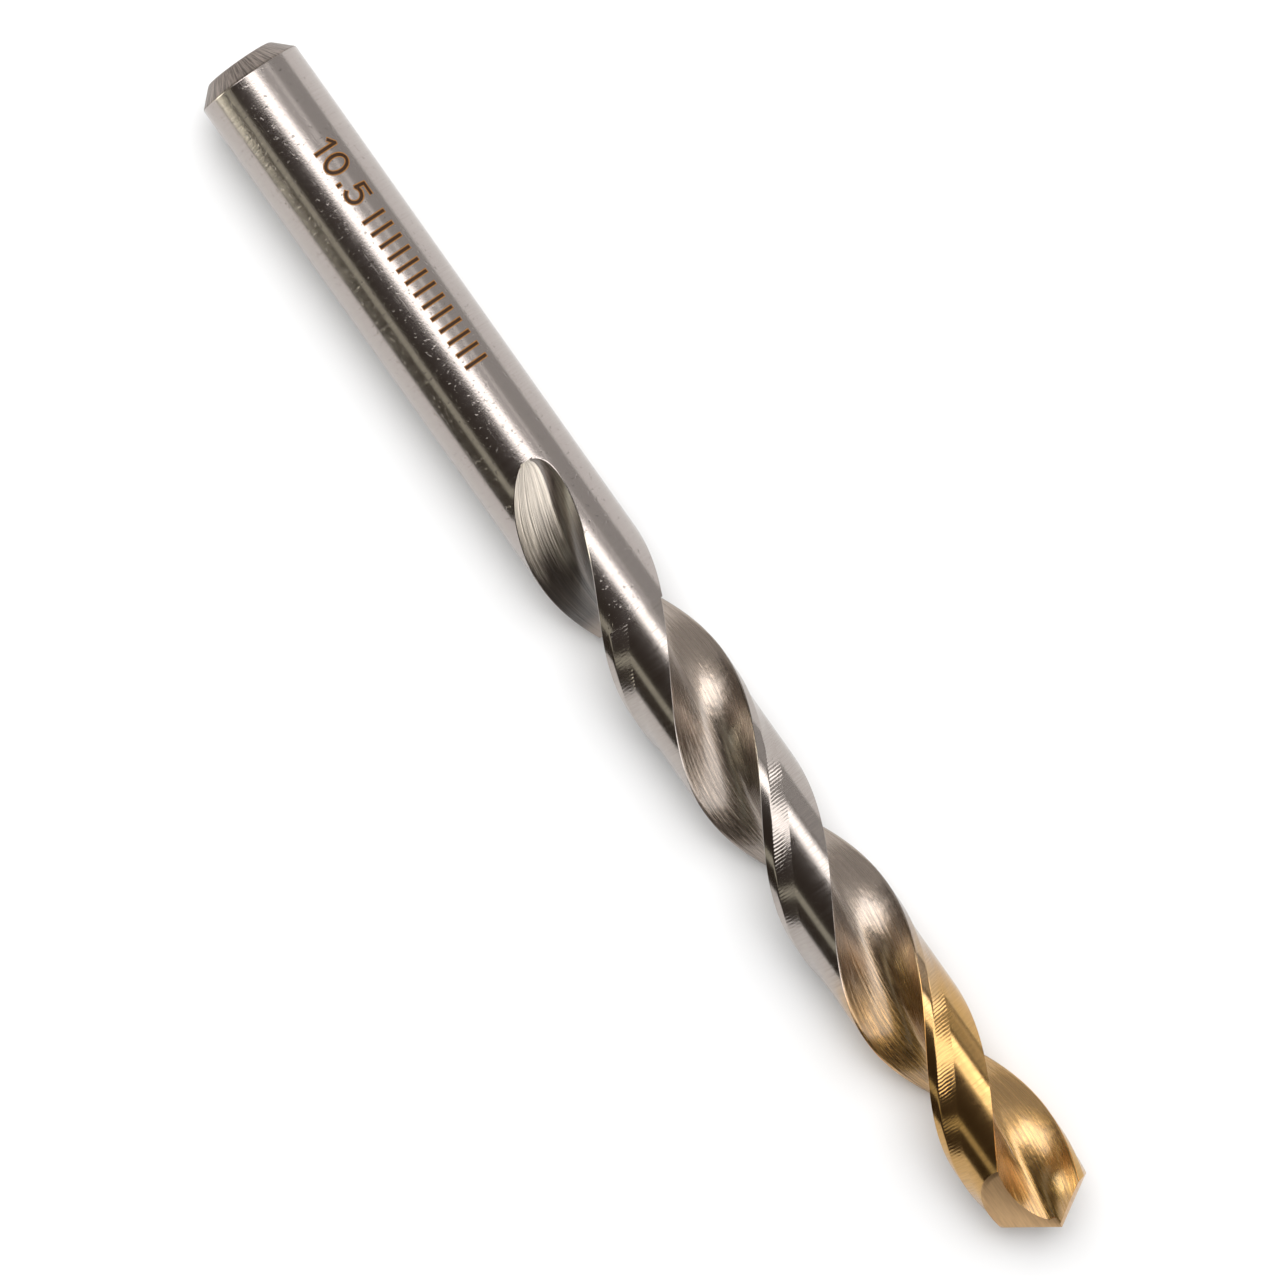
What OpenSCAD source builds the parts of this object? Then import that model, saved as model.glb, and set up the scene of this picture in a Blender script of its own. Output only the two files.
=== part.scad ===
// Two-flute jobber twist drill, lying along +X with its point at the +X end.
// The origin is the centre of the flat end face of the shank, and the drill's axis is the X axis.
// The drill is one ground bar, so its nodes are the zones of that bar. They meet on planes square
// to the axis and share their end sections exactly.

/* [Drill] */
// Cutting diameter, which is also the diameter of the shank
drill_d = 10.5; // [9.5:0.1:11.5]
// Overall length, from the shank's end face to the tip
overall_l = 133; // [125:1:145]
// Length of the flutes, from the tip to where they run out
flute_l = 87.5; // [80:0.5:92]

/* [Flutes] */
// Helix angle at the outer diameter
helix_angle = 32; // [28:1:36]
// Angle between a flute's two edges, near the shank
flute_angle = 97; // [92:1:102]
// How much wider that angle is at the point
flute_gain = 7.5; // [0:0.5:10]
// Angle behind the leading edge that keeps the full diameter
margin_angle = 12; // [7:1:16]
// Angle over which the land falls away behind the margin
ramp_angle = 21; // [15:1:25]
// How far the rest of the land lies below the full diameter
clearance = 0.3; // [0.25:0.05:0.4]
// Thickness of the web between the flutes at the point
web_tip = 1.3; // [1:0.1:1.8]
// Thickness of the web near the shank
web_back = 2.7; // [2:0.1:3.2]

/* [Run-out] */
// Length of the run-out, up to the step where the land's clearance starts
run_out_l = 17.5; // [15:0.5:21]
// Length over which the bottom of a flute rises to the surface
floor_rise_l = 22; // [22:1:26]
// Length over which the heel edge swings out from the run-out's end
heel_swing_l = 5; // [4:0.5:8]
// Turn from the leading edge to the place where a flute comes to its end
end_angle = 78; // [70:1:85]
// How far the valley lies towards the leading edge where the run-out starts, as a share of
// half the flute's width
valley_share = 0.5; // [0:0.05:0.6]

/* [Point] */
// Point angle, between the two lips
point_angle = 118; // [112:1:130]
// Slope of the narrow flank behind each lip, across the land
lip_relief = 2; // [1:0.5:4]
// Turn of the first lip's outer corner about the axis, from +Y towards +Z
lip_turn = 45; // [0:1:90]

/* [Shank] */
// Length of the chamfer on the shank's end
chamfer_l = 1.65; // [1:0.05:2]
// Depth of that chamfer, measured on the radius
chamfer_d = 1.7; // [1:0.05:2]

/* [Coating] */
// Length of the gold titanium nitride coating, from the tip
coat_l = 33; // [20:1:45]

/* [Hidden] */

full_r = drill_d / 2;
land_r = full_r - clearance;
lead = PI * drill_d / tan(helix_angle);
turn_rate = 360 / lead;
flute_x = overall_l - flute_l;
step_x = flute_x + run_out_l;
coat_x = overall_l - coat_l;
// The point's ground flanks end at the heel corners, just ahead of this plane
point_l = 0.82 * drill_d;
point_x = overall_l - point_l;
lip_slope = 1 / tan(point_angle / 2);
corner_x = overall_l - full_r * lip_slope;

// The heel facet: its depth below the tip follows a sine of the angle behind the lip
heel_mean = 0.317;
heel_swing = 1.394;
heel_phase = 195.6;
// Angle behind the lip at which the narrow flank meets the heel facet
ridge_angle = 28;

// Mesh counts
flute_half = 7;
flute_n = 2 * flute_half;
flute_spacing = 1.3;
// The middle point of the section lies a little towards the lip, where the web's edge is
middle_share = 0.08;
land_arcs = 4;
ramp_cuts = [1, 0.78, 0.5, 0.25];
run_step = 0.8;
ring_step = 1;
shank_fn = 96;
search_n = 30;

steel = [0.62, 0.61, 0.60];
dark_steel = [0.50, 0.49, 0.48];
gold = [0.80, 0.62, 0.25];
flank_gold = [0.70, 0.55, 0.26];

// Turn of the first leading edge about the axis
function lead_turn(x) = lip_turn + (x - corner_x) * turn_rate;

// A quarter circle from 0 to 1, used for the plan shape of the run-out
function quarter(t) = sqrt(max(0, 1 - pow(1 - min(1, t), 2)));

// Angles from the leading edge to the two edges of the flute
function lip_edge(x) = end_angle * (1 - quarter((x - flute_x) / (run_out_l + 0.5)));
function full_edge(x) = flute_angle + flute_gain * (x - flute_x) / flute_l;
function heel_edge(x) = end_angle + (full_edge(x) - end_angle) * quarter((x - flute_x) / heel_swing_l);

// Radius of the web, which rises to the surface along the run-out
function web_r(x) = (web_tip + (web_back - web_tip) * (overall_l - x) / (overall_l - step_x)) / 2;
function floor_r(x) =
    let (t = max(0, 1 - (x - flute_x) / floor_rise_l))
    web_r(x) + (full_r - web_r(x)) * t * t;

// The flute's section is a hyperbola that stands across the axis at the floor's radius
function bend(x, half_angle) =
    (pow(cos(half_angle), 2) - pow(floor_r(x) / full_r, 2)) / pow(sin(half_angle), 2);
function across_at(x, u, r) = sqrt((r * r - pow(floor_r(x), 2)) / (1 + u));

// In the run-out the valley lies off the middle, so the wall behind the leading edge is steeper
function valley_shift(x, half_angle) =
    half_angle * valley_share * max(0, 1 - (x - flute_x) / run_out_l);

// Points of one flute, from its leading edge to the heel, as radius and angle
function flute_points(x, heel_r) =
    let (from = lip_edge(x), to = heel_edge(x), half = (to - from) / 2, shift = valley_shift(x, half))
    let (mid = (from + to) / 2 - shift, lip_u = bend(x, half - shift), heel_u = bend(x, half + shift))
    let (ahead = across_at(x, lip_u, full_r), behind = across_at(x, heel_u, heel_r))
    [for (i = [-flute_half:flute_half])
        let (w = pow(abs(i) / flute_half, flute_spacing), middle = -middle_share * ahead)
        let (y = middle + w * ((i < 0 ? -ahead : behind) - middle))
        let (d = sqrt(pow(floor_r(x), 2) + (y < 0 ? lip_u : heel_u) * y * y))
        [norm([d, y]), mid + atan2(y, d)]];

// Radius of the land at an angle behind its leading edge
function land_at(behind, clear) =
    let (t = min(1, max(0, (behind - margin_angle) / ramp_angle)))
    full_r - clear * (1 - pow(1 - t, 2));

// Points of the land, from the heel to the leading edge, without its two ends. In the run-out
// the leading edge lies further ahead, and the points are stretched out to reach it.
function land_points(from, lip, clear) =
    let (ramp_end = margin_angle + ramp_angle, flat = 180 - from - ramp_end)
    let (stretch = (180 + lip - from) / (180 - from))
    let (arcs = [for (i = [1:land_arcs - 1]) ramp_end + flat * (1 - i / land_arcs)])
    let (ramp = [for (t = ramp_cuts) margin_angle + ramp_angle * t])
    let (behind = concat(arcs, ramp, [margin_angle, margin_angle / 2]))
    [for (b = behind) [land_at(b, clear), 180 + lip - b * stretch]];

function half_section(x, clear) =
    let (flute = flute_points(x, full_r - clear))
    concat(flute, land_points(flute[flute_n][1], flute[0][1], clear));

half_n = flute_n + 1 + land_arcs - 1 + len(ramp_cuts) + 2;
ring_n = 2 * half_n;

function place(p, x, half) =
    let (t = lead_turn(x) + p[1] + 180 * half)
    [x, p[0] * cos(t), p[0] * sin(t)];
function ring(x, clear) =
    let (section = half_section(x, clear))
    [for (half = [0, 1], p = section) place(p, x, half)];

// Where a flute starts the bar is still round
function round_ring(x, like_x) =
    let (section = half_section(like_x, 0))
    [for (half = [0, 1], p = section) place([full_r, p[1]], x, half)];

function next(i) = (i + 1) % ring_n;
function side_faces(rings) =
    [for (k = [0:rings - 2], i = [0:ring_n - 1])
        let (a = k * ring_n + i, b = k * ring_n + next(i))
        each [[a, b + ring_n, b], [a, a + ring_n, b + ring_n]]];
// Both ends are fans about a point on the axis
function start_cap(centre) = [for (i = [0:ring_n - 1]) [centre, i, next(i)]];
function end_cap(centre, first) = [for (i = [0:ring_n - 1]) [centre, first + next(i), first + i]];

module skin(rings) {
    count = len(rings);
    last = (count - 1) * ring_n;
    ends = [[rings[0][0][0], 0, 0], [rings[count - 1][0][0], 0, 0]];
    points = concat([for (r = rings) each r], ends);
    faces = concat(side_faces(count), start_cap(len(points) - 2), end_cap(len(points) - 1, last));
    polyhedron(points, faces);
}

function stations(from, to, step) =
    let (n = ceil((to - from) / step))
    [for (k = [0:n]) from + (to - from) * k / n];

module shank() {
    rotate([0, 90, 0])
    color(steel)
    rotate_extrude($fn = shank_fn)
    polygon([[0, 0], [full_r - chamfer_d, 0], [full_r, chamfer_l], [full_r, flute_x], [0, flute_x]]);
}

module flute_runout() {
    start = flute_x + run_step / 2;
    rings = concat([round_ring(flute_x, start)], [for (x = stations(start, step_x, run_step)) ring(x, 0)]);
    color(dark_steel)
    skin(rings);
}

module fluted_body() {
    color(steel)
    skin([for (x = stations(step_x, coat_x, ring_step)) ring(x, clearance)]);
}

module coated_tip() {
    color(gold)
    skin([for (x = stations(coat_x, point_x, ring_step)) ring(x, clearance)]);
}

// Slope of the flank below the tip, at an angle behind the lip's outer corner
function flank_slope(behind) =
    max(lip_slope + tan(lip_relief) * max(0, behind) * PI / 180,
        heel_mean + heel_swing * sin(heel_phase - behind));

// The turn of section point i at station x, and the flank's slope there
function turn_at(i, x) = lead_turn(x) + half_section(x, clearance)[i][1];
function radius_at(i, x) = half_section(x, clearance)[i][0];
function slope_at(i, x) = flank_slope(lip_turn + 180 - turn_at(i, x));

// Station at which the helical line of section point i comes out through the lip or the flank
function exit_x(i, lip, lo = point_x, hi = overall_l, n = search_n) =
    n == 0 ? (lo + hi) / 2 :
    let (mid = (lo + hi) / 2, slope = lip ? lip_slope : slope_at(i, mid))
    overall_l - radius_at(i, mid) * slope > mid ?
        exit_x(i, lip, mid, hi, n - 1) :
        exit_x(i, lip, lo, mid, n - 1);

// One flank runs from the heel side of a flute to the other flute's lip. Its rows go outwards
// from the web to the land, and its columns go round, with one of them on the ridge.
flank_cols = half_n - flute_n;
ridge_col = land_arcs + 1;
ridge_turn = lip_turn + 180 - ridge_angle;
function between(m, heel, ridge, lip) =
    m <= ridge_col ? heel + (ridge - heel) * m / ridge_col :
    ridge + (lip - ridge) * (m - ridge_col) / (flank_cols - ridge_col);
function flank_point(m, heel_i, heel_x, lip_i, lip_x, half) =
    let (heel_r = radius_at(heel_i, heel_x), lip_r = radius_at(lip_i, lip_x))
    let (r = heel_r + (lip_r - heel_r) * m / flank_cols)
    let (t = between(m, turn_at(heel_i, heel_x), ridge_turn, turn_at(lip_i, lip_x) + 180))
    [overall_l - r * flank_slope(lip_turn + 180 - t), r * cos(t + 180 * half), r * sin(t + 180 * half)];

module point() {
    levels = ceil(point_l / ring_step);
    exits = [for (i = [0:half_n - 1]) exit_x(i, i < flute_half)];
    lip_end_x = exit_x(flute_half, true);
    rings = [for (k = [0:levels])
        [for (half = [0, 1], i = [0:half_n - 1])
            let (x = point_x + (exits[i] - point_x) * k / levels)
            place(half_section(x, clearance)[i], x, half)]];
    inner = [for (half = [0, 1], k = [0:flute_half - 1], m = [1:flank_cols - 1])
        let (heel_i = flute_half + k, lip_i = flute_half - k)
        flank_point(m, heel_i, exits[heel_i], lip_i, k == 0 ? lip_end_x : exits[lip_i], half)];
    lip_ends = [for (half = [0, 1]) place(half_section(lip_end_x, clearance)[flute_half], lip_end_x, half)];
    points = concat([for (r = rings) each r], inner, lip_ends, [[point_x, 0, 0], [overall_l, 0, 0]]);
    top = levels * ring_n;
    grid = top + ring_n;
    ends = grid + len(inner);
    centre = ends + 2;
    tip = ends + 3;
    // Number of the flank's point in row k and column m
    function at(half, k, m) =
        k == flute_half ? top + (half * half_n + flute_n + m) % ring_n :
        m == 0 ? top + half * half_n + flute_half + k :
        m < flank_cols ? grid + (half * flute_half + k) * (flank_cols - 1) + m - 1 :
        k == 0 ? ends + 1 - half : top + (1 - half) * half_n + flute_half - k;
    flanks = [for (half = [0, 1], m = [0:flank_cols - 1])
        each concat([[tip, at(half, 0, m + 1), at(half, 0, m)]],
            [for (k = [0:flute_half - 1]) each [
                [at(half, k, m), at(half, k + 1, m + 1), at(half, k + 1, m)],
                [at(half, k, m), at(half, k, m + 1), at(half, k + 1, m + 1)]]])];
    // Where a lip ends at the web, a small upright face drops to the heel facet
    splits = [for (half = [0, 1])
        let (low = at(half, 0, 0), high = ends + half)
        each [[tip, low, high], [low, low - 1, high]]];
    color(flank_gold)
    polyhedron(points, concat(side_faces(levels + 1), start_cap(centre), flanks, splits));
}

shank();
flute_runout();
fluted_body();
coated_tip();
point();
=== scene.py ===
"""A gold-tipped twist drill on a white table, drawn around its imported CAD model."""

import math

import bpy
from mathutils import Matrix, Vector


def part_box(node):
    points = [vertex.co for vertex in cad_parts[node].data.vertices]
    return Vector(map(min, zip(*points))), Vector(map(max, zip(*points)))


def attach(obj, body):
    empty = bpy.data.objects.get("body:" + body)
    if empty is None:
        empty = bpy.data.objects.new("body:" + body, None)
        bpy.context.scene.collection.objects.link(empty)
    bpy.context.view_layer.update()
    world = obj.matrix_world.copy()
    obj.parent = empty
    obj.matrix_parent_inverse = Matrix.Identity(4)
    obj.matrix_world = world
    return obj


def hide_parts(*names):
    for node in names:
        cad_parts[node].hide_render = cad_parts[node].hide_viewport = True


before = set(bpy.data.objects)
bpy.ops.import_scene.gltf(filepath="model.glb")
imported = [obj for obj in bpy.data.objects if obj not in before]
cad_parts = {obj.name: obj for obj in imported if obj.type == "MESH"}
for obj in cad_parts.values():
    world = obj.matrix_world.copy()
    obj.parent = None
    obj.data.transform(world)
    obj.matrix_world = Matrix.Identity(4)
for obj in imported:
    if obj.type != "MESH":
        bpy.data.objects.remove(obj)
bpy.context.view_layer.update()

MM = 0.001

# The drill, in millimetres. Its ends and zones come from the CAD nodes' boxes. The values below them
# repeat the driving dimensions of the CAD source, which the frame doesn't hold.
FULL_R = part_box("shank")[1][2] / MM
TIP_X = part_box("point")[1][0] / MM
FLUTE_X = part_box("flute_runout")[0][0] / MM
STEP_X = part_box("fluted_body")[0][0] / MM
COAT_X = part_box("coated_tip")[0][0] / MM
POINT_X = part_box("point")[0][0] / MM
CLEARANCE = 0.30
CHAMFER_L = 1.65
CHAMFER_D = 1.70

# Helix and section: angles in degrees, web and run-out lengths in millimetres. The run-out's valley
# starts off the middle by that share of half the flute's width.
HELIX_ANGLE = 32
TURN_RATE = 360 * math.tan(math.radians(HELIX_ANGLE)) / (2 * math.pi * FULL_R)
LIP_TURN = 45
HALF_POINT_ANGLE = 59
LIP_SLOPE = 1 / math.tan(math.radians(HALF_POINT_ANGLE))
CORNER_X = TIP_X - FULL_R * LIP_SLOPE
MARGIN = 12
RAMP = 21
FLUTE_ANGLE = 97
FLUTE_GAIN = 7.5
WEB_TIP = 1.3
WEB_BACK = 2.7
END_ANGLE = 78
RUN_OUT_L = STEP_X - FLUTE_X
LIP_SWING_PAST = 0.5
HEEL_SWING_L = 5
FLOOR_RISE_L = 22
VALLEY_SHARE = 0.5

# The point's flanks: relief behind the lip in degrees, then the heel's drop per millimetre of radius,
# which swings about a mean, and the angles that place the swing and the ridge between the two
LIP_RELIEF = 2
HEEL_MEAN = 0.317
HEEL_SWING = 1.394
HEEL_PHASE = 195.6
RIDGE_ANGLE = 28

# Mesh counts and spacings, and the radius of broken edges. The chamfer's rings and its rounded ends
# are shares of its length.
FLUTE_HALF = 22
FLUTE_SPACING = 1.15
MIDDLE_SHARE = 0.08
LAND_ARCS = 16
RAMP_ARCS = 10
MARGIN_ARCS = 5
EDGE = 0.06
RING_STEP = 0.3
RUN_FIRST = 0.15
HALVINGS = 32
REFERENCE_X = 90
SHANK_SIDES = 192
FACE_RINGS = 6
CHAMFER_RINGS = (0.3, 0.6, 0.9)
CHAMFER_ROUND = 0.06
BARREL_FIRST = 0.5
BARREL_STEP = 1.0

# Faces that meet more sharply than this, in degrees, aren't shaded as one
SHARP_ANGLE = 40
RUN_SHARP = 9

# The size mark on the shank: its stations, letter size, stroke widths and parts, and the turn of its
# lower edge about the drill
MARK_X = 10.5
MARK_END = 36
MARK_H = 2.3
MARK_W = 1.7
MARK_STROKE = 0.5
MARK_CORE = 0.3
MARK_LIFT = 0.004
MARK_TURN = 80
BAR_PITCH = 0.8
STROKE_PART = 0.3
ARC_PARTS = 14

# Colours, and the stations between which one turns to the other
WHITE = (1, 1, 1)
CREAM = (1, 1, 0.84)
SHANK_STEEL = (0.43, 0.385, 0.36)
CHAMFER_STEEL = (0.34, 0.285, 0.25)
LAND_STEEL = (0.43, 0.385, 0.355)
FLUTE_STEEL = (0.36, 0.29, 0.235)
# The run-out's colours are painted light and shade: a painted reflection, light on the heel wall, darkens to
# painted shade towards the step, and the wall behind the lip is painted shade
RUNOUT_PAINTED_LIGHT = (0.56, 0.49, 0.41)
RUNOUT_PAINTED_SHADE = (0.15, 0.12, 0.10)
RUNOUT_PAINTED_SHADE_END = (0.10, 0.08, 0.065)
LAND_GOLD = (0.56, 0.34, 0.13)
FLUTE_GOLD = (0.54, 0.31, 0.10)
# Brighter orange on the broken edges: partly worn coating and partly a painted edge highlight
EDGE_GLINT_GOLD = (0.85, 0.42, 0.12)
FLANK_GOLD = (0.60, 0.38, 0.19)
LAND_COAT = (99, 110)
FLUTE_COAT = (97, 110)
# Stations where the run-out's painted light turns to painted shade
RUNOUT_PAINTED_FADE = (50.5, 56.5)
RUNOUT_JOIN_L = 2.5
COAT_WANDER = 2.5
MARK_BORDER = ((0.36, 0.16, 0.035), (0.20, 0.08, 0.02))
MARK_DARK = ((0.05, 0.022, 0.008), (0.02, 0.010, 0.005))
TABLE_WHITES = ((0.9, 0.9, 0.9), (0.88, 0.88, 0.88))

# Brightness of grinding lines and dents, as a share of the surface's around them
STEEL_LINE = 0.72
GOLD_LINE = 0.62
SHANK_LINE = 0.9
SHANK_DENT = 0.45
CHAMFER_LINE = 0.4
FLANK_LINE = 0.8

# Clear coat of the flutes, gloss of the mark, and the wheel's strokes on the ramp, in millimetres
COAT_WEIGHT = 0.7
COAT_IOR = 1.8
MARK_GLOSS = 0.15
STROKE_PITCH = 0.31
STROKE_WANDER = 0.08
STROKE_RELIEF = 0.016

# Ground surfaces. They turn from steel to gold between the stations of fade. Their grinding lines
# have a density per millimetre along the drill and across it, a range of roughness, a relief in
# millimetres and a strength of colour. Some swell gently, under a clear coat. On the run-out the two
# colours are painted light and shade instead: the heel wall's painted reflection turns to painted
# shade, the wall behind the lip is painted shade, and near the step both turn to the flutes' own
# steel. The relieved strip beside the margin is crossed by short strokes.
GROUND = {
    "flute_lip_wall": dict(
        steel=FLUTE_STEEL, gold=FLUTE_GOLD, fade=FLUTE_COAT, along=0.12, across=4.5,
        rough=(0.2, 0.33), relief=0.02, streak=0.4, swell=0.05),
    "flute_heel_wall": dict(
        steel=FLUTE_STEEL, gold=FLUTE_GOLD, fade=FLUTE_COAT, along=0.05, across=4.5,
        rough=(0.2, 0.33), relief=0.05, streak=0.7, swell=0.05),
    "relieved_land": dict(
        steel=LAND_STEEL, gold=LAND_GOLD, fade=LAND_COAT, along=9, across=0.25,
        rough=(0.13, 0.24), relief=0.0015),
    "margin": dict(
        steel=LAND_STEEL, gold=LAND_GOLD, fade=LAND_COAT, along=12, across=0.15,
        rough=(0.12, 0.2), relief=0.001),
    # The broken edges are painted brighter orange: worn coating together with a painted highlight
    "cutting_edge": dict(
        steel=LAND_STEEL, gold=EDGE_GLINT_GOLD, fade=LAND_COAT, along=2, across=2,
        rough=(0.2, 0.3), relief=0.001),
    "scalloped_ramp": dict(
        steel=LAND_STEEL, gold=LAND_GOLD, fade=LAND_COAT, along=9, across=0.3,
        rough=(0.15, 0.26), relief=0.0015, strokes=True),
    # Painted light and shade: the heel wall's light colour is a painted reflection, and it turns to painted
    # shade towards the step
    "runout_grind_painted_light_shade": dict(
        steel=RUNOUT_PAINTED_LIGHT, gold=RUNOUT_PAINTED_SHADE_END, fade=RUNOUT_PAINTED_FADE, along=0.04, across=2.6,
        rough=(0.26, 0.42), relief=0.09, streak=0.9, swell=0.03, painted_shade_joins=True),
    # Painted shade on the wall behind the lip
    "runout_lip_wall_painted_shade": dict(
        steel=RUNOUT_PAINTED_SHADE, gold=FLUTE_GOLD, fade=FLUTE_COAT, along=0.05, across=3,
        rough=(0.26, 0.4), relief=0.05, streak=0.6, swell=0.03, painted_shade_joins=True)}

# The material of each zone of a piece
BODY_LOOK = {"lip_wall": "flute_lip_wall", "heel_wall": "flute_heel_wall", "land": "relieved_land",
             "ramp": "scalloped_ramp", "margin": "margin", "edge": "cutting_edge",
             "end": "turned_chamfer"}
POINT_LOOK = {**BODY_LOOK, "flank": "ground_flank"}
RUNOUT_LOOK = {"lip_wall": "runout_lip_wall_painted_shade", "heel_wall": "runout_grind_painted_light_shade", "end": "turned_chamfer",
               **dict.fromkeys(("land", "ramp", "margin", "edge"), "ground_shank")}
SHANK_LOOK = {"barrel": "ground_shank", "chamfer": "turned_chamfer", "end": "turned_chamfer"}
MARK_LOOK = {"border": "laser_border", "core": "laser_core"}

# Camera, in millimetres and degrees. Its focal length is given in widths of the sensor.
CAMERA_EYE = (48.76, -0.78, 530)
CAMERA_AIM = (65.23, -0.53, 0)
CAMERA_ROLL = 54.72
SENSOR = 36
FOCAL_WIDTHS = 4.439
CLIP_START = 0.01

# The table's side in millimetres, and the room: what lights the table, and what the metal mirrors
TABLE_SIDE = 1000
ROOM_FILL = (0.55, 0.55, 0.55)
ROOM = (0.045, 0.034, 0.026)

# The studio's panels: middle, turn of the long side from +X, length and width in millimetres,
# radiance and colour. The softbox hangs level over the drill, square to the camera.
LEVEL_PANELS = {
    "softbox": ((-52, 79, 650), 60, 1350, 140, 3.6, WHITE),
    "softbox_left": ((-304, -64, 650), 60, 560, 154, 4.2, WHITE),
    "softbox_fade": ((-242, 189, 650), 60, 1350, 300, 0.6, WHITE)}
FACING_PANELS = {
    "reflector": ((411, 167, 322), 145, 530, 530, 2.6, WHITE),
    "right_card": ((361, 574, 80), 145, 280, 170, 3.2, WHITE),
    "left_card": ((-226, -572, 110), 25, 340, 240, 4.6, CREAM),
    "grey_wall": ((-228, 439, 244), 55, 1200, 570, 0.5, WHITE),
    "strip_lamp": ((150, -647, 470), 0, 800, 182, 0.55, CREAM)}
KEY_LIGHT = ((-262, 232, 693), 55, 700, 700, 4.3, WHITE)


# ---- The fluted section -------------------------------------------------------------------------

def lead_turn(x):
    return LIP_TURN + (x - CORNER_X) * TURN_RATE


def quarter(t):
    """A quarter circle's rise, from 0 to 1."""
    return math.sqrt(max(0.0, 1 - (1 - min(1.0, t)) ** 2))


def lip_edge(x):
    return END_ANGLE * (1 - quarter((x - FLUTE_X) / (RUN_OUT_L + LIP_SWING_PAST)))


def heel_edge(x):
    full = FLUTE_ANGLE + FLUTE_GAIN * (x - FLUTE_X) / (TIP_X - FLUTE_X)
    return END_ANGLE + (full - END_ANGLE) * quarter((x - FLUTE_X) / HEEL_SWING_L)


def floor_r(x):
    """Radius of the flute's floor: half the web, which rises to the surface in the run-out."""
    web = (WEB_TIP + (WEB_BACK - WEB_TIP) * (TIP_X - x) / (TIP_X - STEP_X)) / 2
    rise = max(0.0, 1 - (x - FLUTE_X) / FLOOR_RISE_L)
    return web + (FULL_R - web) * rise * rise


def bend(core, half_angle):
    """How strongly a hyperbola bends, from the floor's radius to that angle at the surface."""
    return (math.cos(half_angle) ** 2 - (core / FULL_R) ** 2) / math.sin(half_angle) ** 2


def flute_points(x, heel_r):
    """One flute from its leading edge to the heel, as (radius, angle), with both edges broken.

    In the run-out the valley lies off the middle, so the wall behind the lip is steeper.
    """
    start, end = lip_edge(x), heel_edge(x)
    half = (end - start) / 2
    shift = half * VALLEY_SHARE * max(0.0, 1 - (x - FLUTE_X) / RUN_OUT_L)
    middle = (start + end) / 2 - shift
    core = floor_r(x)
    lip_bend = bend(core, math.radians(half - shift))
    heel_bend = bend(core, math.radians(half + shift))
    edge = EDGE * min(1.0, (x - FLUTE_X) / HEEL_SWING_L)
    ahead = math.sqrt(max(0.0, (FULL_R - edge) ** 2 - core ** 2) / (1 + lip_bend))
    behind = math.sqrt(max(0.0, (heel_r - edge) ** 2 - core ** 2) / (1 + heel_bend))
    # The middle point lies a little towards the lip, where the web's edge is at the point
    lowest = -MIDDLE_SHARE * ahead
    points = []
    for i in range(-FLUTE_HALF, FLUTE_HALF + 1):
        share = (abs(i) / FLUTE_HALF) ** FLUTE_SPACING
        y = lowest + share * ((-ahead if i < 0 else behind) - lowest)
        d = math.sqrt(max(0.0, core ** 2 + (lip_bend if y < 0 else heel_bend) * y * y))
        points.append((math.hypot(d, y), middle + math.degrees(math.atan2(y, d))))
    return points


def land_at(behind, clear):
    t = min(1.0, max(0.0, (behind - MARGIN) / RAMP))
    return FULL_R - clear * (1 - (1 - t) ** 2)


def land_points(start, lip, clear):
    """The land from the heel to the next leading edge, which lies further ahead in the run-out."""
    stretch = (180 + lip - start) / (180 - start)
    edge = math.degrees(EDGE / FULL_R)
    ramp_end = MARGIN + RAMP
    flat = 180 - start - ramp_end - edge
    backs = [ramp_end + flat * (1 - i / LAND_ARCS) for i in range(LAND_ARCS)]
    backs += [MARGIN + edge + (RAMP - edge) * (1 - i / RAMP_ARCS) for i in range(RAMP_ARCS + 1)]
    backs += [edge + (MARGIN - edge) * (1 - i / MARGIN_ARCS) for i in range(MARGIN_ARCS + 1)]
    return [(land_at(b, clear), 180 + lip - b * stretch) for b in backs]


# Zone of each stretch of half a section, in the order of its points
ZONES = (["lip_wall"] * FLUTE_HALF + ["heel_wall"] * FLUTE_HALF + ["edge"] + ["land"] * LAND_ARCS
         + ["ramp"] * (RAMP_ARCS + 1) + ["margin"] * MARGIN_ARCS + ["edge"])
HALF_N = len(ZONES)
RING_N = 2 * HALF_N
HEEL_I = 2 * FLUTE_HALF


def half_section(x, clear):
    flute = flute_points(x, FULL_R - clear)
    return flute + land_points(flute[-1][1], flute[0][1], clear)


def place(point, x, half):
    turn = math.radians(lead_turn(x) + point[1] + 180 * half)
    return (x, point[0] * math.cos(turn), point[0] * math.sin(turn))


def ring(x, clear):
    section = half_section(x, clear)
    return [place(p, x, half) for half in (0, 1) for p in section]


def round_ring(x, like_x):
    """A still-round ring, with its points turned like those of the section at like_x."""
    return [place((FULL_R, p[1]), x, half) for half in (0, 1) for p in half_section(like_x, 0)]


def arc_lengths():
    """Distance along the section to each of its points, which is the surface's v coordinate."""
    points = [place(p, REFERENCE_X, 0)[1:] for p in half_section(REFERENCE_X, CLEARANCE)]
    lengths = [0.0]
    for a, b in zip(points, points[1:]):
        lengths.append(lengths[-1] + math.dist(a, b))
    return lengths


# ---- Meshes -------------------------------------------------------------------------------------

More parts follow.
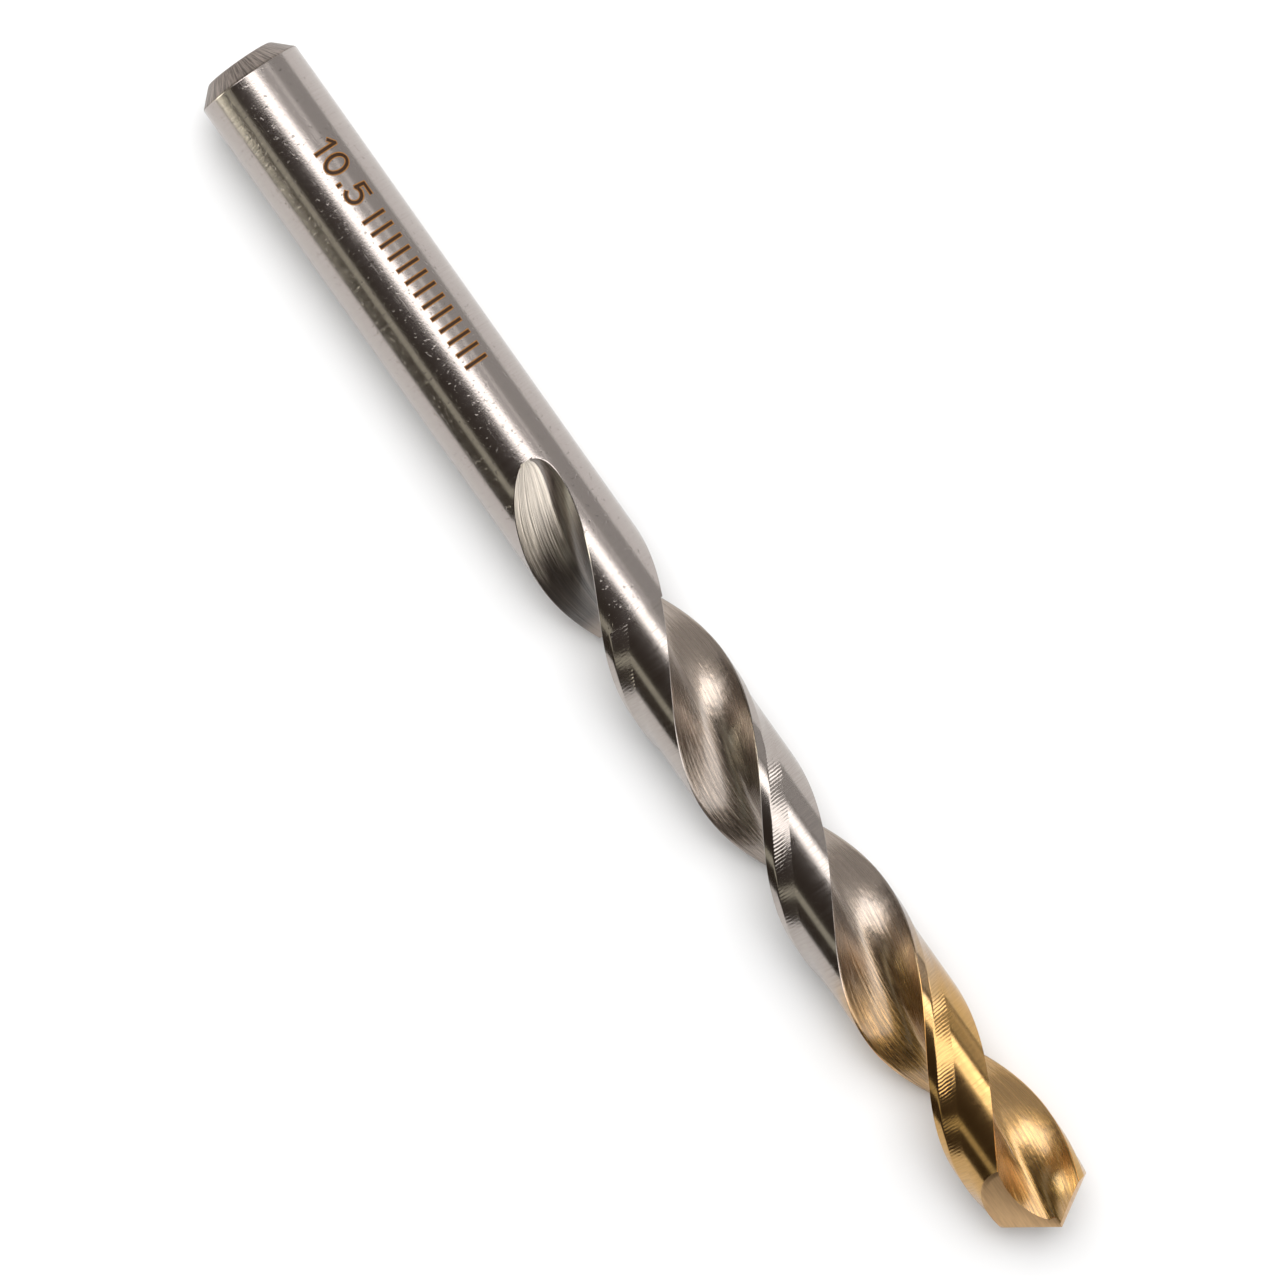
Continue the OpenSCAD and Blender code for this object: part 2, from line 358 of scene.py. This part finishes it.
class Skin:
    """A piece's surface as it grows: points in millimetres, and faces with a zone and UV corners."""

    def __init__(self, verts=()):
        self.verts = list(verts)
        self.faces, self.zones, self.uvs = [], [], []

    def face(self, corners, zone, uv=None):
        """Adds a face. One without UV corners is mapped by its points' y and z."""
        self.faces.append(corners)
        self.zones.append(zone)
        self.uvs.append(uv or [self.verts[v][1:] for v in corners])

    def cap(self, x, first, count, outward):
        """Closes a ring of points with a flat fan about the axis, which faces -X or +X."""
        centre = len(self.verts)
        self.verts.append((x, 0.0, 0.0))
        for i in range(count):
            a, b = first + i, first + (i + 1) % count
            self.face((centre, a, b) if outward > 0 else (centre, b, a), "end")

    def build(self, name, node, look, materials, sharp=SHARP_ANGLE):
        """Makes the mesh object, which stands for a CAD node where one is named."""
        mesh = bpy.data.meshes.new(name)
        mesh.from_pydata([(x * MM, y * MM, z * MM) for x, y, z in self.verts], [], self.faces)
        used = list(dict.fromkeys(look.values()))
        for key in used:
            mesh.materials.append(materials[key])
        mesh.polygons.foreach_set("material_index", [used.index(look[zone]) for zone in self.zones])
        uv = mesh.uv_layers.new(name="UVMap")
        uv.data.foreach_set("uv", [value for corners in self.uvs for pair in corners for value in pair])
        mesh.polygons.foreach_set("use_smooth", [True] * len(self.faces))
        mesh.set_sharp_from_angle(angle=math.radians(sharp))
        mesh.validate()
        piece = bpy.data.objects.new(name, mesh)
        bpy.context.scene.collection.objects.link(piece)
        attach(piece, "root")
        if node:
            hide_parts(node)


def add_sides(skin, rings):
    """Quads from ring to ring, mapped by their station and their distance along the section."""
    arcs = arc_lengths()
    turn = arcs[-1] + EDGE
    for k, (near, far) in enumerate(zip(rings, rings[1:])):
        for i in range(RING_N):
            j = (i + 1) % RING_N
            a, b = k * RING_N + i, k * RING_N + j
            v0 = arcs[i % HALF_N] + turn * (i // HALF_N)
            v1 = v0 + (EDGE if j % HALF_N == 0 else arcs[j % HALF_N] - arcs[i % HALF_N])
            uv = [(near[i][0], v0), (near[j][0], v1), (far[j][0], v1), (far[i][0], v0)]
            skin.face((a, b, b + RING_N, a + RING_N), ZONES[i % HALF_N], uv)


def fluted_piece(node, rings, look, materials, sharp=SHARP_ANGLE):
    skin = Skin(p for r in rings for p in r)
    add_sides(skin, rings)
    skin.cap(rings[0][0][0], 0, RING_N, -1)
    skin.cap(rings[-1][0][0], (len(rings) - 1) * RING_N, RING_N, 1)
    skin.build(node + "_skin", node, look, materials, sharp)


def stations(start, end, step):
    count = math.ceil((end - start) / step)
    return [start + (end - start) * k / count for k in range(count + 1)]


def runout_rings():
    first = FLUTE_X + RUN_FIRST
    near = stations(first, FLUTE_X + HEEL_SWING_L, RING_STEP / 2)
    rest = stations(FLUTE_X + HEEL_SWING_L, STEP_X, RING_STEP)[1:]
    return [round_ring(FLUTE_X, first)] + [ring(x, 0) for x in near + rest]


def body_rings(start, end):
    return [ring(x, CLEARANCE) for x in stations(start, end, RING_STEP)]


# ---- The point ----------------------------------------------------------------------------------

def flank_slope(behind):
    """How far the flank drops per millimetre of radius, at an angle behind its lip."""
    primary = LIP_SLOPE + math.tan(math.radians(LIP_RELIEF)) * math.radians(max(0, behind))
    heel = HEEL_MEAN + HEEL_SWING * math.sin(math.radians(HEEL_PHASE - behind))
    return max(primary, heel)


def turn_at(i, x):
    return lead_turn(x) + half_section(x, CLEARANCE)[i][1]


def radius_at(i, x):
    return half_section(x, CLEARANCE)[i][0]


def exit_x(i, on_lip):
    """Station where the helical line of section point i runs out through the lip or the flank."""
    low, high = POINT_X, TIP_X
    for _ in range(HALVINGS):
        middle = (low + high) / 2
        slope = LIP_SLOPE if on_lip else flank_slope(LIP_TURN + 180 - turn_at(i, middle))
        inside = TIP_X - radius_at(i, middle) * slope > middle
        low, high = (middle, high) if inside else (low, middle)
    return (low + high) / 2


FLANK_COLS = HALF_N - HEEL_I
RIDGE_COL = LAND_ARCS + 1 + round((RAMP - (RIDGE_ANGLE - MARGIN)) / RAMP * RAMP_ARCS)


def flank_row(heel_i, heel_x, lip_i, lip_x, half):
    """Inner points of one row across the flank, from a flute's heel side to the other's lip."""
    heel_r, lip_r = radius_at(heel_i, heel_x), radius_at(lip_i, lip_x)
    heel, ridge = turn_at(heel_i, heel_x), LIP_TURN + 180 - RIDGE_ANGLE
    lip = turn_at(lip_i, lip_x) + 180
    row = []
    for m in range(1, FLANK_COLS):
        radius = heel_r + (lip_r - heel_r) * m / FLANK_COLS
        if m <= RIDGE_COL:
            turn = heel + (ridge - heel) * m / RIDGE_COL
        else:
            turn = ridge + (lip - ridge) * (m - RIDGE_COL) / (FLANK_COLS - RIDGE_COL)
        angle = math.radians(turn + 180 * half)
        drop = radius * flank_slope(LIP_TURN + 180 - turn)
        row.append((TIP_X - drop, radius * math.cos(angle), radius * math.sin(angle)))
    return row


def point_rings(exits):
    """Rings whose points share out the way from the point's start to their own exits."""
    levels = math.ceil((TIP_X - POINT_X) / RING_STEP)
    rings = []
    for k in range(levels + 1):
        level = [POINT_X + (e - POINT_X) * k / levels for e in exits]
        points = [half_section(x, CLEARANCE)[i] for i, x in enumerate(level)]
        rings.append([place(p, x, half) for half in (0, 1) for p, x in zip(points, level)])
    return rings


def add_flank(skin, half, exits, lip_end, top, ends, tip):
    """One flank, in rows from the chisel edge out to the land.

    top, ends and tip number the last ring's first point, the lips' inner ends and the drill's tip.
    """
    near, far = top + half * HALF_N, top + (1 - half) * HALF_N
    rows = []
    for k in range(FLUTE_HALF):
        heel_i, lip_i = FLUTE_HALF + k, FLUTE_HALF - k
        inner = flank_row(heel_i, exits[heel_i], lip_i, exits[lip_i] if k else lip_end, half)
        numbers = list(range(len(skin.verts), len(skin.verts) + len(inner)))
        skin.verts += inner
        rows.append([near + heel_i] + numbers + [far + lip_i if k else ends + 1 - half])
    rows.append([top + (half * HALF_N + HEEL_I + m) % RING_N for m in range(FLANK_COLS + 1)])
    for m in range(FLANK_COLS):
        skin.face((tip, rows[0][m], rows[0][m + 1]), "flank")
    for inner, outer in zip(rows, rows[1:]):
        for m in range(FLANK_COLS):
            skin.face((inner[m], outer[m], outer[m + 1], inner[m + 1]), "flank")
    low, high = rows[0][0], ends + half
    skin.face((tip, high, low), "flank")
    skin.face((low, high, low - 1), "flank")


def point_piece(materials):
    exits = [exit_x(i, i < FLUTE_HALF) for i in range(HALF_N)]
    lip_end = exit_x(FLUTE_HALF, True)
    rings = point_rings(exits)
    skin = Skin(p for r in rings for p in r)
    add_sides(skin, rings)
    skin.cap(POINT_X, 0, RING_N, -1)
    top, ends = (len(rings) - 1) * RING_N, len(skin.verts)
    middle = half_section(lip_end, CLEARANCE)[FLUTE_HALF]
    skin.verts += [place(middle, lip_end, 0), place(middle, lip_end, 1), (TIP_X, 0.0, 0.0)]
    for half in (0, 1):
        add_flank(skin, half, exits, lip_end, top, ends, ends + 2)
    skin.build("point_skin", "point", POINT_LOOK, materials)


# ---- The shank ----------------------------------------------------------------------------------

def shank_profile():
    """Outline of the shank as (station, radius, zone up to the next point)."""
    face_r = FULL_R - CHAMFER_D
    slope_x, slope_r = CHAMFER_L * CHAMFER_ROUND, CHAMFER_D * CHAMFER_ROUND
    rows = [(0.0, face_r * i / FACE_RINGS, "end") for i in range(1, FACE_RINGS)]
    rows += [(0.0, face_r - EDGE, "chamfer"), (slope_x, face_r + slope_r, "chamfer")]
    rows += [(CHAMFER_L * t, face_r + CHAMFER_D * t, "chamfer") for t in CHAMFER_RINGS]
    rows += [(CHAMFER_L - slope_x, FULL_R - slope_r, "chamfer")]
    # The second of two close rings keeps the rounded edge's shading off the barrel
    rows += [(CHAMFER_L + EDGE, FULL_R, "barrel"), (CHAMFER_L + 2 * EDGE, FULL_R, "barrel")]
    barrel = stations(CHAMFER_L + BARREL_FIRST, FLUTE_X, BARREL_STEP)
    return rows + [(x, FULL_R, "barrel") for x in barrel]


def shank_piece(materials):
    rows = shank_profile()
    turns = [2 * math.pi * j / SHANK_SIDES for j in range(SHANK_SIDES)]
    arc = 2 * math.pi * FULL_R / SHANK_SIDES
    skin = Skin((x, r * math.cos(t), r * math.sin(t)) for x, r, _ in rows for t in turns)
    for k, ((x0, _, zone), (x1, _, _)) in enumerate(zip(rows, rows[1:])):
        for j in range(SHANK_SIDES):
            a, b = k * SHANK_SIDES + j, k * SHANK_SIDES + (j + 1) % SHANK_SIDES
            v0, v1 = arc * j, arc * (j + 1)
            uv = None if zone == "end" else [(x0, v0), (x0, v1), (x1, v1), (x1, v0)]
            skin.face((a, b, b + SHANK_SIDES, a + SHANK_SIDES), zone, uv)
    skin.cap(0.0, 0, SHANK_SIDES, -1)
    skin.cap(FLUTE_X, (len(rows) - 1) * SHANK_SIDES, SHANK_SIDES, 1)
    skin.build("shank_skin", "shank", SHANK_LOOK, materials)


# ---- The size mark ------------------------------------------------------------------------------

def arc_line(cx, cy, rx, ry, start, end, count=ARC_PARTS):
    angles = [math.radians(start + (end - start) * k / count) for k in range(count + 1)]
    return [(cx + rx * math.cos(a), cy + ry * math.sin(a)) for a in angles]


def mark_lines():
    """Plain strokes of a size mark: "10.5", then a row of bars, as lists of (along, up)."""
    h, w = MARK_H, MARK_W
    one = [[(0.15 * w, 0.78 * h), (0.5 * w, h), (0.5 * w, 0)]]
    zero = [arc_line(0.5 * w, 0.5 * h, 0.45 * w, 0.5 * h, 90, 450, 24)]
    dot = [[(0.2 * w, 0.0), (0.2 * w, 0.1 * h)]]
    five = [[(0.85 * w, h), (0.18 * w, h), (0.12 * w, 0.58 * h)]
            + arc_line(0.42 * w, 0.33 * h, 0.44 * w, 0.33 * h, 125, -145)]
    bar = [[(0, 0), (0, h)]]
    lines, x = [], MARK_X
    for glyph, advance in ((one, 1.0), (zero, 1.35), (dot, 0.65), (five, 2.0)):
        lines += [[(x + px, py) for px, py in line] for line in glyph]
        x += advance * w
    while x < MARK_END:
        lines += [[(x + px, py) for px, py in line] for line in bar]
        x += BAR_PITCH * w
    return lines


def stroke_parts(start, end, width):
    """One straight stroke, as short quads that can follow the round shank."""
    (x0, y0), (x1, y1) = start, end
    length = math.hypot(x1 - x0, y1 - y0)
    ux, uy = (x1 - x0) / length, (y1 - y0) / length
    # Each end reaches a third of the width further, so that strokes meet at corners
    reach, half = width / 3, width / 2
    x0, y0, x1, y1 = x0 - ux * reach, y0 - uy * reach, x1 + ux * reach, y1 + uy * reach
    count = max(1, math.ceil(abs(y1 - y0) / STROKE_PART))
    nx, ny = -uy * half, ux * half
    parts = []
    for k in range(count):
        (ax, ay), (bx, by) = [(x0 + (x1 - x0) * t, y0 + (y1 - y0) * t) for t in (k / count, (k + 1) / count)]
        parts.append([(ax - nx, ay - ny), (bx - nx, by - ny), (bx + nx, by + ny), (ax + nx, ay + ny)])
    return parts


def on_shank(x, up, lift):
    turn = math.radians(MARK_TURN) - up / FULL_R
    return (x, (FULL_R + lift) * math.cos(turn), (FULL_R + lift) * math.sin(turn))


def mark_piece(materials):
    """Thin ribbons that lie on the shank, just proud of it: a pale border under a dark core."""
    skin = Skin()
    strokes = [ends for line in mark_lines() for ends in zip(line, line[1:])]
    for zone, width, lift in (("border", MARK_STROKE, MARK_LIFT), ("core", MARK_CORE, 2 * MARK_LIFT)):
        for start, end in strokes:
            for corners in stroke_parts(start, end, width):
                first = len(skin.verts)
                skin.verts += [on_shank(*corner, lift) for corner in corners]
                skin.face((first, first + 1, first + 2, first + 3), zone, corners)
    skin.build("size_mark", None, MARK_LOOK, materials)


# ---- Materials ----------------------------------------------------------------------------------

def shade(colour, share):
    return tuple(share * c for c in colour)


class Surface:
    """A Principled material built from a few procedural layers over the UV coordinates."""

    def __init__(self, name, metallic=1.0):
        self.name = name
        self.material = bpy.data.materials.new(name)
        self.material.use_nodes = True
        self.tree = self.material.node_tree
        self.shader = self.tree.nodes["Principled BSDF"]
        self.set("Metallic", metallic)
        self.uv = self.node("UVMap").outputs["UV"]
        self.normal = None

    def node(self, kind):
        return self.tree.nodes.new("ShaderNode" + kind)

    def link(self, source, socket):
        self.tree.links.new(source, socket)

    def set(self, socket, number):
        self.shader.inputs[socket].default_value = number

    def noise(self, along, across, detail=3.0, seed=0.0, rough=0.55):
        """Noise with that many cells per millimetre along the axis and across it.

        The seed moves the pattern by its own amount each way.
        """
        mapping = self.node("Mapping")
        mapping.inputs["Scale"].default_value = (along, across, 1)
        mapping.inputs["Location"].default_value = (seed, 3.1 * seed, 0)
        texture = self.node("TexNoise")
        texture.noise_dimensions = "2D"
        texture.inputs["Scale"].default_value = 1
        texture.inputs["Detail"].default_value = detail
        texture.inputs["Roughness"].default_value = rough
        self.link(self.uv, mapping.inputs["Vector"])
        self.link(mapping.outputs["Vector"], texture.inputs["Vector"])
        return texture.outputs["Fac"]

    def remap(self, value, low, high, to_low=0.0, to_high=1.0, smooth=False):
        node = self.node("MapRange")
        node.interpolation_type = "SMOOTHSTEP" if smooth else "LINEAR"
        limits = {"From Min": low, "From Max": high, "To Min": to_low, "To Max": to_high}
        for key, number in limits.items():
            node.inputs[key].default_value = number
        self.link(value, node.inputs["Value"])
        return node.outputs["Result"]

    def math(self, operation, a, b=0.0):
        node = self.node("Math")
        node.operation = operation
        for socket, value in zip(node.inputs, (a, b)):
            if isinstance(value, (int, float)):
                socket.default_value = value
            else:
                self.link(value, socket)
        return node.outputs["Value"]

    def mix(self, factor, a, b):
        node = self.node("Mix")
        node.data_type = "RGBA"
        self.link(factor, node.inputs["Factor"])
        for socket, value in ((node.inputs["A"], a), (node.inputs["B"], b)):
            if isinstance(value, tuple):
                socket.default_value = (*value, 1)
            else:
                self.link(value, socket)
        return node.outputs["Result"]

    def station(self):
        """The place along the drill's axis, in millimetres, which is the surface's u coordinate."""
        node = self.node("SeparateXYZ")
        self.link(self.uv, node.inputs["Vector"])
        return node.outputs[0]

    def colour(self, value):
        self.link(value, self.shader.inputs["Base Color"])

    def roughness(self, value):
        self.link(value, self.shader.inputs["Roughness"])

    def bump(self, value, height_mm):
        """Adds a layer of relief, as tall as height_mm where the value is 1."""
        node = self.node("Bump")
        node.inputs["Strength"].default_value = 1.0
        node.inputs["Distance"].default_value = height_mm * MM
        self.link(value, node.inputs["Height"])
        if self.normal:
            self.link(self.normal, node.inputs["Normal"])
        self.normal = node.outputs["Normal"]
        self.link(self.normal, self.shader.inputs["Normal"])


def fade_in(surface, start, end):
    """How far one colour has turned to the other, from 0 to 1 along the axis, on a wandering line."""
    spread = surface.noise(along=0.15, across=0.5, detail=2, seed=4.0)
    wander = surface.remap(spread, 0, 1, -COAT_WANDER, COAT_WANDER)
    return surface.remap(surface.math("ADD", surface.station(), wander), start, end, smooth=True)


def add_strokes(surface):
    """Crosses a surface with the short strokes of the grinding wheel."""
    spread = surface.noise(along=0.8, across=1.5, detail=2, seed=5.0)
    wander = surface.remap(spread, 0, 1, -STROKE_WANDER, STROKE_WANDER)
    station = surface.math("ADD", surface.station(), wander)
    wave = surface.math("SINE", surface.math("MULTIPLY", station, 2 * math.pi / STROKE_PITCH))
    surface.bump(surface.remap(wave, -1, 1), STROKE_RELIEF)


def ground_metal(name, steel, gold, fade, along, across, rough, relief,
                 streak=0.25, swell=0, painted_shade_joins=False, strokes=False):
    """A ground surface, as the comment on GROUND describes it."""
    surface = Surface(name)
    lines = surface.noise(along, across, detail=4, seed=1.0, rough=0.65)
    film = fade_in(surface, *fade)
    base = surface.mix(film, steel, gold)
    dark = surface.mix(film, shade(steel, STEEL_LINE), shade(gold, GOLD_LINE))
    colour = surface.mix(surface.remap(lines, 0.35, 0.65, 0, 2 * streak), base, dark)
    # Near the step the run-out's painted light and shade give way to the flutes' own steel
    if painted_shade_joins:
        near_end = surface.remap(surface.station(), STEP_X - RUNOUT_JOIN_L, STEP_X, smooth=True)
        colour = surface.mix(near_end, colour, FLUTE_STEEL)
    surface.colour(colour)
    surface.roughness(surface.remap(lines, 0.25, 0.75, *rough))
    surface.bump(lines, relief)
    if swell:
        surface.bump(surface.noise(along=0.6, across=0.9, detail=2, seed=12.0), swell)
        surface.set("Coat Weight", COAT_WEIGHT)
        surface.set("Coat IOR", COAT_IOR)
        surface.set("Coat Roughness", rough[0])
    if strokes:
        add_strokes(surface)
    return surface


def shank_surface():
    """Finely ground steel with small dents, orange peel and long scratches."""
    surface = Surface("ground_shank")
    lines = surface.noise(along=14, across=0.12, detail=4, seed=2.0, rough=0.7)
    dents = surface.remap(surface.noise(along=2.2, across=2.2, detail=2, seed=7.0), 0.67, 0.74)
    peel = surface.noise(along=5, across=5, detail=2, seed=11.0)
    scratches = surface.remap(surface.noise(along=0.25, across=9, detail=2, seed=9.0), 0.72, 0.8)
    base = surface.mix(surface.remap(lines, 0.3, 0.7), SHANK_STEEL, shade(SHANK_STEEL, SHANK_LINE))
    dim = surface.math("MULTIPLY", dents, 0.5)
    surface.colour(surface.mix(dim, base, shade(SHANK_STEEL, SHANK_DENT)))
    surface.roughness(surface.remap(lines, 0.25, 0.75, 0.12, 0.24))
    for layer, height in ((lines, 0.0012), (peel, 0.003), (dents, -0.008), (scratches, -0.002)):
        surface.bump(layer, height)
    return surface


def chamfer_surface():
    """Coarse lines up the chamfer, and the same grain on the flat ends."""
    surface = Surface("turned_chamfer")
    lines = surface.noise(along=0.5, across=5, detail=4, seed=3.0, rough=0.7)
    contrast = surface.remap(lines, 0.35, 0.65)
    surface.colour(surface.mix(contrast, CHAMFER_STEEL, shade(CHAMFER_STEEL, CHAMFER_LINE)))
    surface.roughness(surface.remap(lines, 0, 1, 0.3, 0.5))
    surface.bump(lines, 0.03)
    return surface


def flank_surface():
    """Faint grinding lines across the flank, which is mapped by y and z."""
    surface = Surface("ground_flank")
    lines = surface.noise(along=5, across=0.4, detail=3, seed=6.0, rough=0.6)
    contrast = surface.remap(lines, 0.3, 0.7)
    surface.colour(surface.mix(contrast, FLANK_GOLD, shade(FLANK_GOLD, FLANK_LINE)))
    surface.roughness(surface.remap(lines, 0, 1, 0.3, 0.42))
    surface.bump(lines, 0.004)
    return surface


def mark_surface(name, light, dark):
    surface = Surface(name, metallic=0.0)
    surface.set("Specular IOR Level", MARK_GLOSS)
    spots = surface.noise(along=6, across=6, detail=3, seed=8.0)
    surface.colour(surface.mix(spots, light, dark))
    surface.roughness(surface.remap(spots, 0, 1, 0.4, 0.6))
    surface.bump(spots, 0.004)
    return surface


def table_surface():
    surface = Surface("white_table", metallic=0.0)
    grain = surface.noise(along=4, across=4, detail=2, seed=1.0)
    surface.colour(surface.mix(grain, *TABLE_WHITES))
    surface.roughness(surface.remap(grain, 0, 1, 0.6, 0.7))
    return surface


def make_materials():
    """The drill's materials, by name."""
    surfaces = [ground_metal(name, **look) for name, look in GROUND.items()]
    surfaces += [shank_surface(), chamfer_surface(), flank_surface()]
    surfaces += [mark_surface("laser_border", *MARK_BORDER), mark_surface("laser_core", *MARK_DARK)]
    return {surface.name: surface.material for surface in surfaces}


# ---- Scene --------------------------------------------------------------------------------------

def make_drill():
    materials = make_materials()
    shank_piece(materials)
    fluted_piece("flute_runout", runout_rings(), RUNOUT_LOOK, materials, RUN_SHARP)
    fluted_piece("fluted_body", body_rings(STEP_X, COAT_X), BODY_LOOK, materials)
    fluted_piece("coated_tip", body_rings(COAT_X, POINT_X), BODY_LOOK, materials)
    point_piece(materials)
    mark_piece(materials)


def make_floor():
    half, z = TABLE_SIDE / 2 * MM, -FULL_R * MM
    corners = [(-half, -half, z), (half, -half, z), (half, half, z), (-half, half, z)]
    mesh = bpy.data.meshes.new("table_top")
    mesh.from_pydata(corners, [], [(0, 1, 2, 3)])
    mesh.uv_layers.new(name="UVMap")
    mesh.materials.append(table_surface().material)
    floor = bpy.data.objects.new("table_top", mesh)
    bpy.context.scene.collection.objects.link(floor)


def frame_of(right, up, out, origin):
    """A placement from its three directions and its origin."""
    return Matrix.Translation(origin) @ Matrix((right, up, out)).transposed().to_4x4()


def soft_panel(name, middle, turn, length, width, radiance, colour, level=False, mirrored=True):
    """A glowing rectangle that faces the drill, or hangs level over it.

    A mirrored panel is seen in the metal only, and any other lights the table only.
    """
    light = bpy.data.lights.new(name, "AREA")
    light.shape = "RECTANGLE"
    light.size, light.size_y = length * MM, width * MM
    light.color = colour
    # An area light of power P shows a radiance of P / (pi * area)
    light.energy = radiance * math.pi * light.size * light.size_y
    place_at = Vector(middle) * MM
    drill_middle = Vector((TIP_X * MM / 2, 0, 0))
    outward = Vector((0, 0, 1)) if level else (place_at - drill_middle).normalized()
    heading = Vector((math.cos(math.radians(turn)), math.sin(math.radians(turn)), 0))
    along = (heading - outward * heading.dot(outward)).normalized()
    lamp = bpy.data.objects.new(name, light)
    lamp.matrix_world = frame_of(along, outward.cross(along), outward, place_at)
    lamp.visible_camera = False
    lamp.visible_diffuse = not mirrored
    lamp.visible_glossy = mirrored
    bpy.context.scene.collection.objects.link(lamp)


def make_lights():
    for name, panel in LEVEL_PANELS.items():
        soft_panel(name, *panel, level=True)
    for name, panel in FACING_PANELS.items():
        soft_panel(name, *panel)
    soft_panel("key_light", *KEY_LIGHT, mirrored=False)


def make_world():
    """White where the camera sees it, a soft fill on the table, and a dim room in the metal."""
    world = bpy.data.worlds.new("studio")
    world.use_nodes = True
    nodes, links = world.node_tree.nodes, world.node_tree.links
    path = nodes.new("ShaderNodeLightPath")
    lit, seen = nodes.new("ShaderNodeMix"), nodes.new("ShaderNodeMix")
    for node in (lit, seen):
        node.data_type = "RGBA"
    lit.inputs["A"].default_value = (*ROOM_FILL, 1)
    lit.inputs["B"].default_value = (*ROOM, 1)
    seen.inputs["B"].default_value = (*WHITE, 1)
    links.new(path.outputs["Is Glossy Ray"], lit.inputs["Factor"])
    links.new(path.outputs["Is Camera Ray"], seen.inputs["Factor"])
    links.new(lit.outputs["Result"], seen.inputs["A"])
    links.new(seen.outputs["Result"], nodes["Background"].inputs["Color"])
    bpy.context.scene.world = world


def make_camera():
    """The photograph's view: almost overhead and near the shank, with the drill across the frame."""
    eye, aim = Vector(CAMERA_EYE) * MM, Vector(CAMERA_AIM) * MM
    back = (eye - aim).normalized()
    along = (Vector((1, 0, 0)) - back * back.x).normalized()
    side = back.cross(along)
    roll = math.radians(CAMERA_ROLL)
    right = along * math.cos(roll) + side * math.sin(roll)
    up = side * math.cos(roll) - along * math.sin(roll)
    data = bpy.data.cameras.new("camera")
    data.sensor_width = SENSOR
    data.lens = SENSOR * FOCAL_WIDTHS
    data.clip_start = CLIP_START
    camera = bpy.data.objects.new("camera", data)
    camera.matrix_world = frame_of(right, up, back, eye)
    bpy.context.scene.collection.objects.link(camera)
    bpy.context.scene.camera = camera


make_camera()
make_drill()
make_floor()
make_world()
make_lights()
bpy.context.scene.view_settings.view_transform = "Standard"
